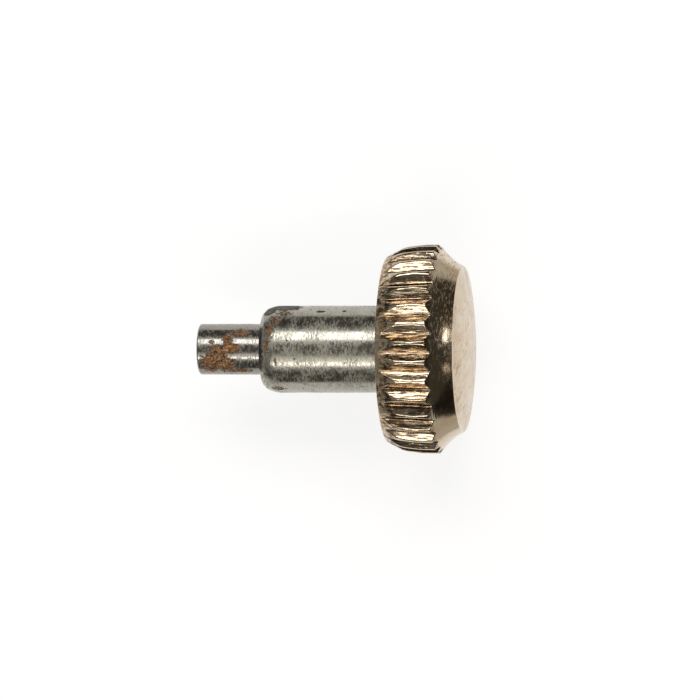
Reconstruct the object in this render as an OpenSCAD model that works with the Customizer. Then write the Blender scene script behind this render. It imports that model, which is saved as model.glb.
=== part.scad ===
// Screw-down watch crown with a sprung stem socket.
// X runs along the axis from the post to the face. The back of the head lies at x = 0.

/* [Head] */
// Widest diameter of the fluted band
head_d = 6.0; // [5.7:0.05:6.8]
// Diameter of the flat back of the head
back_d = 5.34; // [5.28:0.02:5.42]
// Distance from the back to the bend in the rear bevel
bend_at = 0.42; // [0.3:0.02:0.5]
// Diameter at the bend
bend_d = 5.78; // [5.7:0.02:5.84]
// Distance from the back to where the rear bevel ends
bevel_len = 0.58; // [0.52:0.02:0.8]
// Diameter where the rear bevel ends
bevel_front_d = 5.88; // [5.84:0.02:5.94]
// Distance from the back to the widest place of the band
widest_at = 1.05; // [0.9:0.01:1.38]
// Distance from the back to the front end of the band
band_len = 1.46; // [1.4:0.01:1.6]
// Distance from the back to the edge of the face
face_at = 2.17; // [2.1:0.01:2.3]
// Diameter of the face
face_d = 4.76; // [4.6:0.02:4.9]
// Hollow of the front cone, measured from a straight line
cone_hollow = 0.075; // [0.005:0.005:0.08]
// Height of the face's dome over its edge
dome_h = 0.25; // [0.15:0.01:0.32]

/* [Flutes] */
// Number of V grooves round the band
flute_count = 33; // [28:1:36]
// Diameter at the bottom of the grooves, at the band's rear end
root_rear_d = 5.46; // [5.4:0.02:5.54]
// Diameter at the bottom of the grooves, at the band's front end
root_front_d = 5.62; // [5.56:0.02:5.7]
// Angle between the two sides of a groove
flute_angle = 102; // [94:1:108]
// Turn of the grooves about the axis
flute_phase = 2.1; // [0:0.1:10]

/* [Shell] */
// Thickness of the gold shell under the flutes and the face
shell_t = 0.3; // [0.2:0.01:0.36]
// Thickness of the lip that is rolled over the core's back
lip_t = 0.12; // [0.08:0.01:0.18]
// Diameter of the opening inside the lip
lip_opening_d = 4.4; // [4.3:0.02:4.52]

/* [Core] */
// Inner diameter of the thread that screws on the case tube
case_thread_d = 3.6; // [3.56:0.02:3.76]
// Length of that thread
case_thread_len = 0.85; // [0.7:0.01:0.95]
// Diameter of the slot that holds the gasket washer
washer_slot_d = 3.9; // [3.84:0.02:4.1]
// Length of the slot
washer_slot_len = 0.16; // [0.12:0.01:0.2]
// Diameter of the gasket's seat
gasket_seat_d = 3.76; // [3.7:0.02:3.84]
// Length of the gasket's seat
gasket_seat_len = 0.42; // [0.34:0.01:0.5]
// How deep the post is pressed into the core
press_len = 0.45; // [0.3:0.01:0.55]

/* [Post] */
// Outer diameter of the post
post_d = 2.5; // [2.44:0.01:2.56]
// Length of the post behind the head
post_reach = 3.62; // [3.4:0.02:4.4]
// Diameter of the flat at the rolled nose
nose_flat_d = 2.06; // [1.96:0.02:2.16]
// Length of the nose's taper, behind the flat
nose_taper_len = 0.12; // [0.08:0.01:0.2]
// Diameter where the taper ends
nose_taper_d = 2.3; // [2.24:0.02:2.4]
// Length of the rounding between the taper and the post's side
nose_round_len = 0.4; // [0.25:0.01:0.5]
// Thickness of the rolled nose
nose_t = 0.24; // [0.18:0.01:0.3]
// Diameter of the opening in the rolled nose
nose_opening_d = 1.6; // [1.56:0.02:1.7]
// Distance from the back of the head to where the post's neck starts
neck_at = 0.8; // [0.7:0.01:0.84]
// Diameter of the neck inside the gasket
neck_d = 2.12; // [2.04:0.02:2.2]
// Width across the flats of the hexagon bore
hex_bore_af = 1.78; // [1.74:0.01:1.8]
// Diameter of the spring's bore
spring_bore_d = 1.6; // [1.54:0.02:1.68]

/* [Stop ring] */
// Outer diameter of the ring's seat behind the nose
ring_seat_d = 2.1; // [2.08:0.01:2.14]
// Thickness of the ring
ring_t = 0.26; // [0.2:0.01:0.35]

/* [Stem socket] */
// Diameter of the pin
pin_d = 1.46; // [1.36:0.01:1.48]
// Length of the pin outside the nose
pin_reach = 1.86; // [1.5:0.01:2.2]
// Chamfer at the pin's end
pin_chamfer = 0.04; // [0.02:0.01:0.1]
// Length of the hexagon head
hex_head_len = 1.0; // [0.7:0.05:1.2]
// Diameter of the spigot that centres the spring
spigot_d = 0.84; // [0.6:0.02:0.9]
// Length of the spigot
spigot_len = 0.5; // [0.3:0.05:0.7]
// Inner diameter of the tapped hole for the stem
tap_d = 0.9; // [0.7:0.02:1.0]
// Depth of the tapped hole
tap_len = 2.6; // [2.0:0.05:2.8]
// How far the socket can be pushed in
travel = 1.2; // [0.8:0.05:1.4]

/* [Spring] */
// Outer diameter of the coil
spring_d = 1.46; // [1.38:0.01:1.5]
// Diameter of the wire
wire_d = 0.2; // [0.14:0.01:0.22]
// Number of open turns between the closed end turns
open_turns = 7; // [5:1:9]

/* [Gasket washer] */
// Thickness of the washer
washer_t = 0.12; // [0.08:0.01:0.14]

/* [Fits] */
// Gap between pieces that are pressed or rolled together
seat_gap = 0.01; // [0.005:0.005:0.015]
// Radial running gap between the pin and the stop ring
pin_gap = 0.03; // [0.015:0.005:0.05]
// Gap between each flat of the hexagon head and its bore
hex_gap = 0.03; // [0.015:0.005:0.04]
// Radial gap between the washer and the post
washer_gap = 0.06; // [0.03:0.01:0.1]
// Gap past the hexagon head when the socket is pushed in
end_gap = 0.3; // [0.1:0.05:0.5]

/* [Hidden] */
$fn = 96;

gold = [0.82, 0.63, 0.46];
nickel = [0.68, 0.68, 0.60];
steel = [0.55, 0.54, 0.52];
spring_steel = [0.45, 0.47, 0.50];
black_rubber = [0.10, 0.10, 0.10];

head_r = head_d / 2;
face_r = face_d / 2;
root_rear_r = root_rear_d / 2;
root_front_r = root_front_d / 2;
// The dome is a cap of a sphere through the face's edge and the apex.
dome_r = (face_r * face_r + dome_h * dome_h) / (2 * dome_h);
dome_centre = face_at + dome_h - dome_r;
core_r = root_rear_r - shell_t;
// The inside of the shell follows the front cone and the dome.
cone_slope = (head_r - face_r) / (face_at - band_len);
cone_inset = shell_t * sqrt(1 + cone_slope * cone_slope) + cone_hollow;

floor_at = case_thread_len + washer_slot_len + gasket_seat_len;
neck_end = floor_at + press_len;

ring_seat_at = nose_t - post_reach;
hex_bore_at = ring_seat_at + ring_t + 2 * seat_gap;
hex_head_end = hex_bore_at + hex_head_len;
hex_bore_end = hex_head_end + travel + end_gap;
hex_head_af = hex_bore_af - 2 * hex_gap;
pin_r = pin_d / 2;
pin_end = -post_reach - pin_reach;

nose_steps = 4;
cone_steps = 5;
dome_steps = 6;
cut = 0.2;

// A solid turned about the X axis from a list of [x, radius] points.
module turned(points) {
    rotate([0, 90, 0]) rotate_extrude() polygon([for (p = points) [p[1], p[0]]]);
}

// A round bar on the X axis.
module bar(r, x0, x1) {
    translate([x0, 0, 0]) rotate([0, 90, 0]) cylinder(r = r, h = x1 - x0);
}

// A hexagon bar on the X axis, given its width across the flats.
module hex_bar(af, x0, x1) {
    translate([x0, 0, 0]) rotate([0, 90, 0]) cylinder(r = af / 2 / cos(30), h = x1 - x0, $fn = 6);
}

// Front cone from the band to just before the face, drawn in by cone_hollow at its middle.
function cone_points() = [
    for (i = [0 : cone_steps - 1])
        let (t = i / cone_steps, x = band_len + t * (face_at - band_len))
            [x, head_r + t * (face_r - head_r) - 4 * t * (1 - t) * cone_hollow]
];

// Arc of a dome about the X axis, from the given radius in to the axis.
function dome_points(centre, radius, from_r) = [
    for (i = [0 : dome_steps])
        let (a = asin(from_r / radius) * (1 - i / dome_steps))
            [centre + radius * cos(a), radius * sin(a)]
];

module head_outline() {
    turned(concat(
        [[0, 0], [0, back_d / 2], [bend_at, bend_d / 2], [bevel_len, bevel_front_d / 2],
         [widest_at, head_r]],
        cone_points(),
        dome_points(dome_centre, dome_r, face_r)));
}

// One V groove on the +Z side. Its bottom line rises from the rear to the front of the band.
module groove() {
    rise = atan((root_front_r - root_rear_r) / band_len);
    side = 2 * (head_r - root_rear_r);
    translate([0, 0, root_rear_r]) rotate([0, -rise, 0]) translate([-cut, 0, 0]) rotate([90, 0, 90])
        linear_extrude(height = face_at + cut)
            polygon([[0, 0], [side * tan(flute_angle / 2), side], [-side * tan(flute_angle / 2), side]]);
}

// The space inside the shell, or the core that fills it with a gap all round.
module shell_inside(gap) {
    r = core_r - gap;
    inner_dome_r = dome_r - shell_t - gap;
    edge = cone_inner_r(0) - gap;
    turned(concat(
        [[lip_t + gap, 0], [lip_t + gap, r], [(edge - r) / cone_slope, r]],
        dome_points(dome_centre, inner_dome_r, cone_meets_dome(edge, inner_dome_r))));
}

// Radius of the line inside the front cone, at distance x from the back.
function cone_inner_r(x) = face_r + cone_slope * (face_at - x) - cone_inset;

// Radius where that line, which starts at radius edge, meets a dome.
function cone_meets_dome(edge, radius) =
    let (a = 1 + cone_slope * cone_slope,
         b = dome_centre + edge * cone_slope,
         c = dome_centre * dome_centre + edge * edge - radius * radius,
         x = (b + sqrt(b * b - a * c)) / a)
            edge - cone_slope * x;

module crown_cap() {
    color(gold) difference() {
        head_outline();
        for (i = [0 : flute_count - 1]) rotate([flute_phase + i * 360 / flute_count, 0, 0]) groove();
        shell_inside(0);
        bar(lip_opening_d / 2, -cut, lip_t + cut);
    }
}

module crown_core() {
    color(nickel) difference() {
        union() {
            shell_inside(seat_gap);
            bar(lip_opening_d / 2 - seat_gap, 0, lip_t + 2 * seat_gap);
        }
        bar(case_thread_d / 2, -cut, floor_at - gasket_seat_len);
        bar(washer_slot_d / 2, case_thread_len, case_thread_len + washer_slot_len);
        bar(gasket_seat_d / 2, case_thread_len + washer_slot_len, floor_at);
        bar(neck_d / 2 + seat_gap, floor_at - cut, neck_end + seat_gap);
    }
}

// Rounding of the rolled nose, from its taper to the post's side.
function nose_points() = [
    for (i = [0 : nose_steps])
        let (t = i / nose_steps)
            [nose_taper_len + nose_round_len * t - post_reach,
             nose_taper_d / 2 + (post_d - nose_taper_d) / 2 * (2 - t) * t]
];

module post_tube() {
    color(nickel) difference() {
        turned(concat(
            [[-post_reach, 0], [-post_reach, nose_flat_d / 2]],
            nose_points(),
            [[neck_at, post_d / 2], [neck_at, neck_d / 2], [neck_end, neck_d / 2], [neck_end, 0]]));
        bar(nose_opening_d / 2, -post_reach - cut, ring_seat_at + cut);
        bar(ring_seat_d / 2, ring_seat_at, hex_bore_at);
        hex_bar(hex_bore_af, hex_bore_at - seat_gap, hex_bore_end);
        bar(spring_bore_d / 2, hex_bore_at, neck_end + cut);
    }
}

module stop_ring() {
    color(steel) difference() {
        bar(ring_seat_d / 2 - seat_gap, ring_seat_at + seat_gap, ring_seat_at + seat_gap + ring_t);
        bar(pin_r + pin_gap, ring_seat_at - cut, hex_bore_at + cut);
    }
}

module stem_socket() {
    drill_point = tap_d / 2 / tan(59);
    color(steel) difference() {
        union() {
            turned([[pin_end, 0], [pin_end, pin_r - pin_chamfer], [pin_end + pin_chamfer, pin_r],
                    [hex_bore_at + cut, pin_r], [hex_bore_at + cut, 0]]);
            hex_bar(hex_head_af, hex_bore_at, hex_head_end);
            bar(spigot_d / 2, hex_head_end - cut, hex_head_end + spigot_len);
        }
        bar(tap_d / 2, pin_end - cut, pin_end + tap_len);
        turned([[pin_end + tap_len - seat_gap, 0], [pin_end + tap_len - seat_gap, tap_d / 2],
                [pin_end + tap_len, tap_d / 2], [pin_end + tap_len + drill_point, 0]]);
    }
}

// The coil stands between the hexagon head and the end of the post's hole in the core.
spring_from = hex_head_end + seat_gap;
spring_to = neck_end;
closed_pitch = wire_d + seat_gap;
turns = open_turns + 2;
open_pitch = (spring_to - spring_from - wire_d - 2 * closed_pitch) / open_turns;
coil_r = (spring_d - wire_d) / 2;
rings_per_turn = 16;
wire_sides = 6;

function coil_x(t) = spring_from + wire_d / 2
    + closed_pitch * (min(t, 1) + max(t - turns + 1, 0))
    + open_pitch * min(max(t - 1, 0), open_turns);

// Corner k of the wire's section at turn t, in the plane through the axis.
function coil_corner(t, k) =
    let (r = coil_r + wire_d / 2 * cos(360 * k / wire_sides))
        [coil_x(t) + wire_d / 2 * sin(360 * k / wire_sides), r * cos(360 * t), r * sin(360 * t)];

module spring() {
    rings = turns * rings_per_turn;
    points = [for (i = [0 : rings]) for (k = [0 : wire_sides - 1]) coil_corner(i / rings_per_turn, k)];
    sides = [
        for (i = [0 : rings - 1]) for (k = [0 : wire_sides - 1])
            let (n = (k + 1) % wire_sides, a = i * wire_sides, b = a + wire_sides)
                each [[a + k, b + k, b + n], [a + k, b + n, a + n]]
    ];
    ends = [
        for (k = [1 : wire_sides - 2])
            each [[0, k, k + 1], [rings * wire_sides, rings * wire_sides + k + 1, rings * wire_sides + k]]
    ];
    color(spring_steel) polyhedron(points, concat(sides, ends));
}

module gasket() {
    color(black_rubber) difference() {
        bar(gasket_seat_d / 2 - seat_gap, floor_at - gasket_seat_len + seat_gap, floor_at - seat_gap);
        bar(neck_d / 2 + seat_gap, 0, floor_at + cut);
    }
}

module gasket_washer() {
    color(steel) difference() {
        bar(washer_slot_d / 2 - seat_gap, case_thread_len + seat_gap, case_thread_len + seat_gap + washer_t);
        bar(post_d / 2 + washer_gap, 0, floor_at);
    }
}

crown_cap();
crown_core();
post_tube();
stop_ring();
stem_socket();
spring();
gasket();
gasket_washer();
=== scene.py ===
import math
from functools import partial

import bmesh
import bpy
from mathutils import Matrix, Vector


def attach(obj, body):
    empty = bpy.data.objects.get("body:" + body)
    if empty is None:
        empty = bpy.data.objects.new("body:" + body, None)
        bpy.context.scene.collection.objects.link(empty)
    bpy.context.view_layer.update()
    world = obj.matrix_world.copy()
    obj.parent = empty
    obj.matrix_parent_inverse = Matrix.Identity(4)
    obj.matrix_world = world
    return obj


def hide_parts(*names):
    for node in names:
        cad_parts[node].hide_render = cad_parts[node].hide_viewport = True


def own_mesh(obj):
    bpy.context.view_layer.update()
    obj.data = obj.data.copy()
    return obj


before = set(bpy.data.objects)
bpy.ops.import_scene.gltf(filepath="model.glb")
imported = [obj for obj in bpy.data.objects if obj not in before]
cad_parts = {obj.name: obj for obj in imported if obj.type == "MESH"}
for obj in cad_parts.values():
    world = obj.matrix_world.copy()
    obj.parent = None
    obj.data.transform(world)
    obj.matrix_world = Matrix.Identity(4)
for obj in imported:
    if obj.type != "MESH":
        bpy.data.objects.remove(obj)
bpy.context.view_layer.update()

mm = 0.001


def tint(code):  # sRGB hex to linear
    parts = [int(code[i:i + 2], 16) / 255 for i in (1, 3, 5)]
    return tuple(c / 12.92 if c <= 0.04045 else ((c + 0.055) / 1.055) ** 2.4 for c in parts) + (1.0,)


# A feed is a value, a socket, or a node that stands for its first live output.
def addNode(tree, kind, feeds=None, **settings):
    node = tree.nodes.new(kind)
    for name, value in settings.items():
        setattr(node, name, value)
    live = [s for s in node.inputs if s.enabled]
    for key, value in (feeds or {}).items():
        socket = live[key] if isinstance(key, int) else next(s for s in live if s.name == key)
        if isinstance(value, bpy.types.Node):
            value = next(s for s in value.outputs if s.enabled)
        if isinstance(value, bpy.types.NodeSocket):
            tree.links.new(value, socket)
        else:
            socket.default_value = value
    return node


# An outline of (x, r, fillet radius) corners in mm becomes (x, r) points. Each fillet is an arc with a
# guard point at either side, which keeps the long faces flat under smooth shading.
def filleted(corners, arcSteps=4):
    points = []
    for i, (x, r, radius) in enumerate(corners):
        here = Vector((x, r))
        if radius == 0 or i in (0, len(corners) - 1):
            points.append((x, r))
            continue
        back = Vector(corners[i - 1][:2]) - here
        ahead = Vector(corners[i + 1][:2]) - here
        half = back.angle(ahead) / 2
        reach = min(radius / math.tan(half), 0.4 * back.length, 0.4 * ahead.length)
        middle = here + (back.normalized() + ahead.normalized()).normalized() * (reach / math.cos(half))
        start = here + back.normalized() * reach
        end = here + ahead.normalized() * reach
        points.append(tuple(start + back.normalized() * reach * 0.25))
        for s in range(arcSteps + 1):
            spoke = (start - middle).lerp(end - middle, s / arcSteps).normalized()
            points.append(tuple(middle + spoke * reach * math.tan(half)))
        points.append(tuple(end + ahead.normalized() * reach * 0.25))
    return points


def subdivided(points, step):  # no gap between neighbours is over step mm
    out = [points[0]]
    for a, b in zip(points, points[1:]):
        n = max(1, math.ceil(math.dist(a, b) / step - 1e-6))
        out += [(a[0] + (b[0] - a[0]) * i / n, a[1] + (b[1] - a[1]) * i / n) for i in range(1, n + 1)]
    return out


eighths = [i / 8 for i in range(9)]   # the steps of a curved stretch


def meshOf(name, verts, faces):  # verts in millimetres
    mesh = bpy.data.meshes.new(name)
    mesh.from_pydata([tuple(c * mm for c in v) for v in verts], [], faces)
    return mesh


def linked(name, data):
    item = bpy.data.objects.new(name, data)
    bpy.context.scene.collection.objects.link(item)
    return item


def finishObject(name, mesh, material, creaseAngle):
    work = bmesh.new()
    work.from_mesh(mesh)
    bmesh.ops.remove_doubles(work, verts=work.verts, dist=1e-7)
    bmesh.ops.dissolve_degenerate(work, edges=work.edges, dist=1e-8)
    bmesh.ops.recalc_face_normals(work, faces=work.faces)
    work.to_mesh(mesh)
    work.free()
    mesh.materials.clear()
    mesh.materials.append(material)
    mesh.shade_smooth()
    mesh.set_sharp_from_angle(angle=math.radians(creaseAngle))
    return linked(name, mesh)


# Turned round the X axis. A radius may be a function of the angle, as on a hexagon.
def turnedPiece(name, outline, sides, material, isLoop=True, creaseAngle=40):
    verts, faces, rings = [], [], []
    for x, r in outline:
        if not callable(r) and r < 1e-6:
            rings.append([len(verts)] * sides)
            verts.append((x, 0, 0))
            continue
        rings.append(list(range(len(verts), len(verts) + sides)))
        for s in range(sides):
            a = 2 * math.pi * s / sides
            radius = r(a) if callable(r) else r
            verts.append((x, -radius * math.sin(a), radius * math.cos(a)))
    pairs = list(zip(rings, rings[1:])) + ([(rings[-1], rings[0])] if isLoop else [])
    for low, high in pairs:
        for s in range(sides):
            n = (s + 1) % sides
            corners = []
            for v in (low[s], low[n], high[n], high[s]):
                if v not in corners:
                    corners.append(v)
            if len(corners) > 2:
                faces.append(corners)
    return finishObject(name, meshOf(name, verts, faces), material, creaseAngle)


# Runs a Geometry Nodes tree on a carrier mesh and keeps the plain mesh that comes out.
def grown(name, tree, inputs, material, creaseAngle, carrier=None):
    host = linked(name + "Host", carrier or bpy.data.meshes.new(name + "Host"))
    modifier = host.modifiers.new("grow", "NODES")
    modifier.node_group = tree
    sockets = {s.name: s.identifier for s in tree.interface.items_tree if s.in_out == "INPUT"}
    for label, value in inputs.items():
        modifier[sockets[label]] = value
    modifier[sockets["Material"]] = material
    bpy.context.view_layer.update()
    made = host.evaluated_get(bpy.context.evaluated_depsgraph_get())
    mesh = bpy.data.meshes.new_from_object(made)
    host.modifiers.clear()
    bpy.data.objects.remove(host)
    mesh.name = name
    return finishObject(name, mesh, material, creaseAngle)


# Returns a Geometry Nodes tree with an input for each size, what adds nodes to it, and the inputs' sockets.
def newTree(name, sizes):
    tree = bpy.data.node_groups.new(name, "GeometryNodeTree")
    tree.interface.new_socket("Geometry", in_out="INPUT", socket_type="NodeSocketGeometry")
    for label, value in sizes.items():
        kind = "NodeSocketInt" if isinstance(value, int) else "NodeSocketFloat"
        tree.interface.new_socket(label, in_out="INPUT", socket_type=kind).default_value = value
    tree.interface.new_socket("Material", in_out="INPUT", socket_type="NodeSocketMaterial")
    tree.interface.new_socket("Geometry", in_out="OUTPUT", socket_type="NodeSocketGeometry")
    add = partial(addNode, tree)
    return tree, add, add("NodeGroupInput").outputs


def endTree(add, given, geometry):
    real = add("GeometryNodeRealizeInstances", {"Geometry": geometry})
    dressed = add("GeometryNodeSetMaterial", {"Geometry": real, "Material": given["Material"]})
    add("NodeGroupOutput", {"Geometry": dressed})


def emptied(owner):  # clears the nodes of a material or of the world, and returns what adds new ones
    owner.use_nodes = True
    owner.node_tree.nodes.clear()
    return partial(addNode, owner.node_tree)


# Every material works in millimetres. Each of its plain noises is (grains per mm, detail, roughness).
def startMaterial(name, noises):
    material = bpy.data.materials.new(name)
    add = emptied(material)
    place = add("ShaderNodeTexCoord").outputs["Object"]
    point = add("ShaderNodeVectorMath", {"Vector": place, "Scale": 1000.0}, operation="SCALE")
    noise = {}
    for label, (perMm, detail, rough) in noises.items():
        feeds = {"Vector": point, "Scale": perMm, "Detail": detail, "Roughness": rough}
        noise[label] = add("ShaderNodeTexNoise", feeds)
    return material, add, point, noise


# Adds the bump, the shader and the output. A pattern's label in look gives its height in mm.
def endMaterial(add, look, feeds, patterns, strength=1.0):
    height = 0.0
    for label, pattern in patterns.items():
        height = add("ShaderNodeMath", {0: pattern, 1: look[label], 2: height}, operation="MULTIPLY_ADD")
    bump = add("ShaderNodeBump", {"Strength": strength, "Distance": mm, "Height": height})
    shader = add("ShaderNodeBsdfPrincipled", {**feeds, "Normal": bump})
    add("ShaderNodeOutputMaterial", {"Surface": shader})


# Noise with its grains drawn out to three sizes in mm, along x, y and z or along turned axes.
def drawnNoise(add, point, size, detail, roughness=0.5, turn=(0, 0, 0)):
    laid = add("ShaderNodeMapping", {"Vector": point, "Rotation": turn, "Scale": size}, vector_type="TEXTURE")
    return add("ShaderNodeTexNoise", {"Vector": laid, "Scale": 1.0, "Detail": detail, "Roughness": roughness})


# The lathe's rings, which follow each other along the axis and change slowly round it.
def turningRings(add, point, look):
    stretch = (1 / look["ringSpacing"], look["ringChange"], look["ringChange"])
    laid = add("ShaderNodeMapping", {"Vector": point, "Scale": stretch}, vector_type="POINT")
    return add("ShaderNodeTexNoise", {"Vector": laid, "Scale": 1.0, "Detail": 2.0, "Roughness": 0.6})


# Spots, each ((x, y, z), (reach x, y, z)) in mm, are core in the middle and fade outwards. A noise frays
# their edges by up to half the spread, but not where less than the least of a spot is left.
def frayedSpots(add, point, spots, edge, spread, core, least):
    near = 0.0
    for centre, reach in spots:
        offset = add("ShaderNodeVectorMath", {0: point, 1: centre}, operation="SUBTRACT")
        scaled = add("ShaderNodeVectorMath", {0: offset, 1: reach}, operation="DIVIDE")
        size = add("ShaderNodeVectorMath", {0: scaled}, operation="LENGTH").outputs["Value"]
        soft = add("ShaderNodeMapRange", {"Value": size, "From Min": 1.35, "From Max": 0.45})
        near = add("ShaderNodeMath", {0: near, 1: soft}, operation="MAXIMUM")
    near = add("ShaderNodeMath", {0: near, 1: core}, operation="MULTIPLY")
    frayed = add("ShaderNodeMath", {0: edge, 1: 0.5}, operation="SUBTRACT")
    frayed = add("ShaderNodeMath", {0: frayed, 1: spread, 2: near}, operation="MULTIPLY_ADD")
    close = add("ShaderNodeMath", {0: near, 1: least}, operation="GREATER_THAN")
    return add("ShaderNodeMath", {0: frayed, 1: close}, operation="MULTIPLY")


# The dull film on turned metal lies in specks and is denser in some blotches.
def dullFilm(add, look, blotch, speck):
    (low, high, least), (first, last) = look["filmBlotches"], look["filmSpecks"]
    dense = add("ShaderNodeMapRange", {"Value": blotch, "From Min": low, "From Max": high, "To Min": least})
    grainy = add("ShaderNodeMapRange", {"Value": speck, "From Min": first, "From Max": last})
    return add("ShaderNodeMath", {0: dense, 1: grainy}, operation="MULTIPLY")


# The film, and whatever has spoilt the surface, make the metal show less and scatter more.
def dulledMetal(add, look, blotch, film, spoilt):
    dulled = add("ShaderNodeMath", {0: film, 1: look["filmShare"]}, operation="MULTIPLY")
    dulled = add("ShaderNodeMath", {0: dulled, 1: spoilt}, operation="MAXIMUM")
    metallic = add("ShaderNodeMath", {0: 1.0, 1: dulled}, operation="SUBTRACT")
    low, high = look["roughBlotches"]
    rough = add("ShaderNodeMapRange", {"Value": blotch, "From Min": low, "From Max": high,
                                       "To Min": look["roughMin"], "To Max": look["roughMax"]})
    rough = add("ShaderNodeMath", {0: dulled, 1: look["dullRough"], 2: rough}, operation="MULTIPLY_ADD")
    return metallic, rough


# Rose gold, polished on a wheel, which leaves the flutes softly waved. The cone and the flat back keep
# turning rings, the cone and the bevel are scuffed, the face is satin, and hairlines come from handling.
# Down in the flutes, where no finger rubs, the gold keeps a redder tarnish; the grime there is also painted
# shade, darkening the flutes' bottoms and flanks in patches, more on the -Y side.
goldLook = {
    "colour": "#D2C3AB", "rosy": "#C9AF8F", "tarnish": "#A87848", "grimeAndShade": "#241A12",
    "tarnishShare": 0.4, "grimeAndShadeShare": 0.85,
    "roughMin": 0.06, "roughMax": 0.14,
    "hairlineRough": 0.15, "coneRough": 0.05, "faceRough": 0.16, "scuffRough": 0.45, "grimeAndShadeRough": 0.15,
    "noises": {"smudge": (1.7, 4.0, 0.6), "grain": (18.0, 3.0, 0.6), "patch": (6.0, 4.0, 0.65),
               "wave": (1 / 0.75, 0.0, 0.5)},
    # sizes in mm
    "hairlineSize": (3.0, 0.10, 0.10), "hairlineTurns": ((0.3, 0.2, 0.9), (1.1, 0.5, 2.2), (0.2, 1.2, 1.5)),
    "streakSize": (0.50, 0.065, 0.065), "scuffSize": (0.045, 0.16, 0.16),
    "ringSpacing": 0.035, "ringChange": 0.7,
    "waveHeight": 0.018, "streakHeight": 0.0065, "ringHeight": 0.0032, "hairlineHeight": -0.0012,
    "grainHeight": 0.0006, "waveShareOnCone": 0.3,
    # the line of the flutes' bottoms, and how far up from it the tarnish and the grime with its painted shade
    # reach
    "grooveFloor": 2.72, "grooveRise": 0.0715, "tarnishTo": 0.13, "grimeAndShadeTo": (0.19, 0.14),
    # along the axis, from where each zone is out to where it is in
    "zones": {"offBack": (0.004, 0.03), "bevel": (0.34, 0.24), "fluteRear": (0.0, 0.30),
              "fluteFront": (1.59, 1.53), "pastBand": (1.52, 1.58), "beforeFace": (2.18, 2.14),
              "face": (2.15, 2.20)},
}


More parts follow.
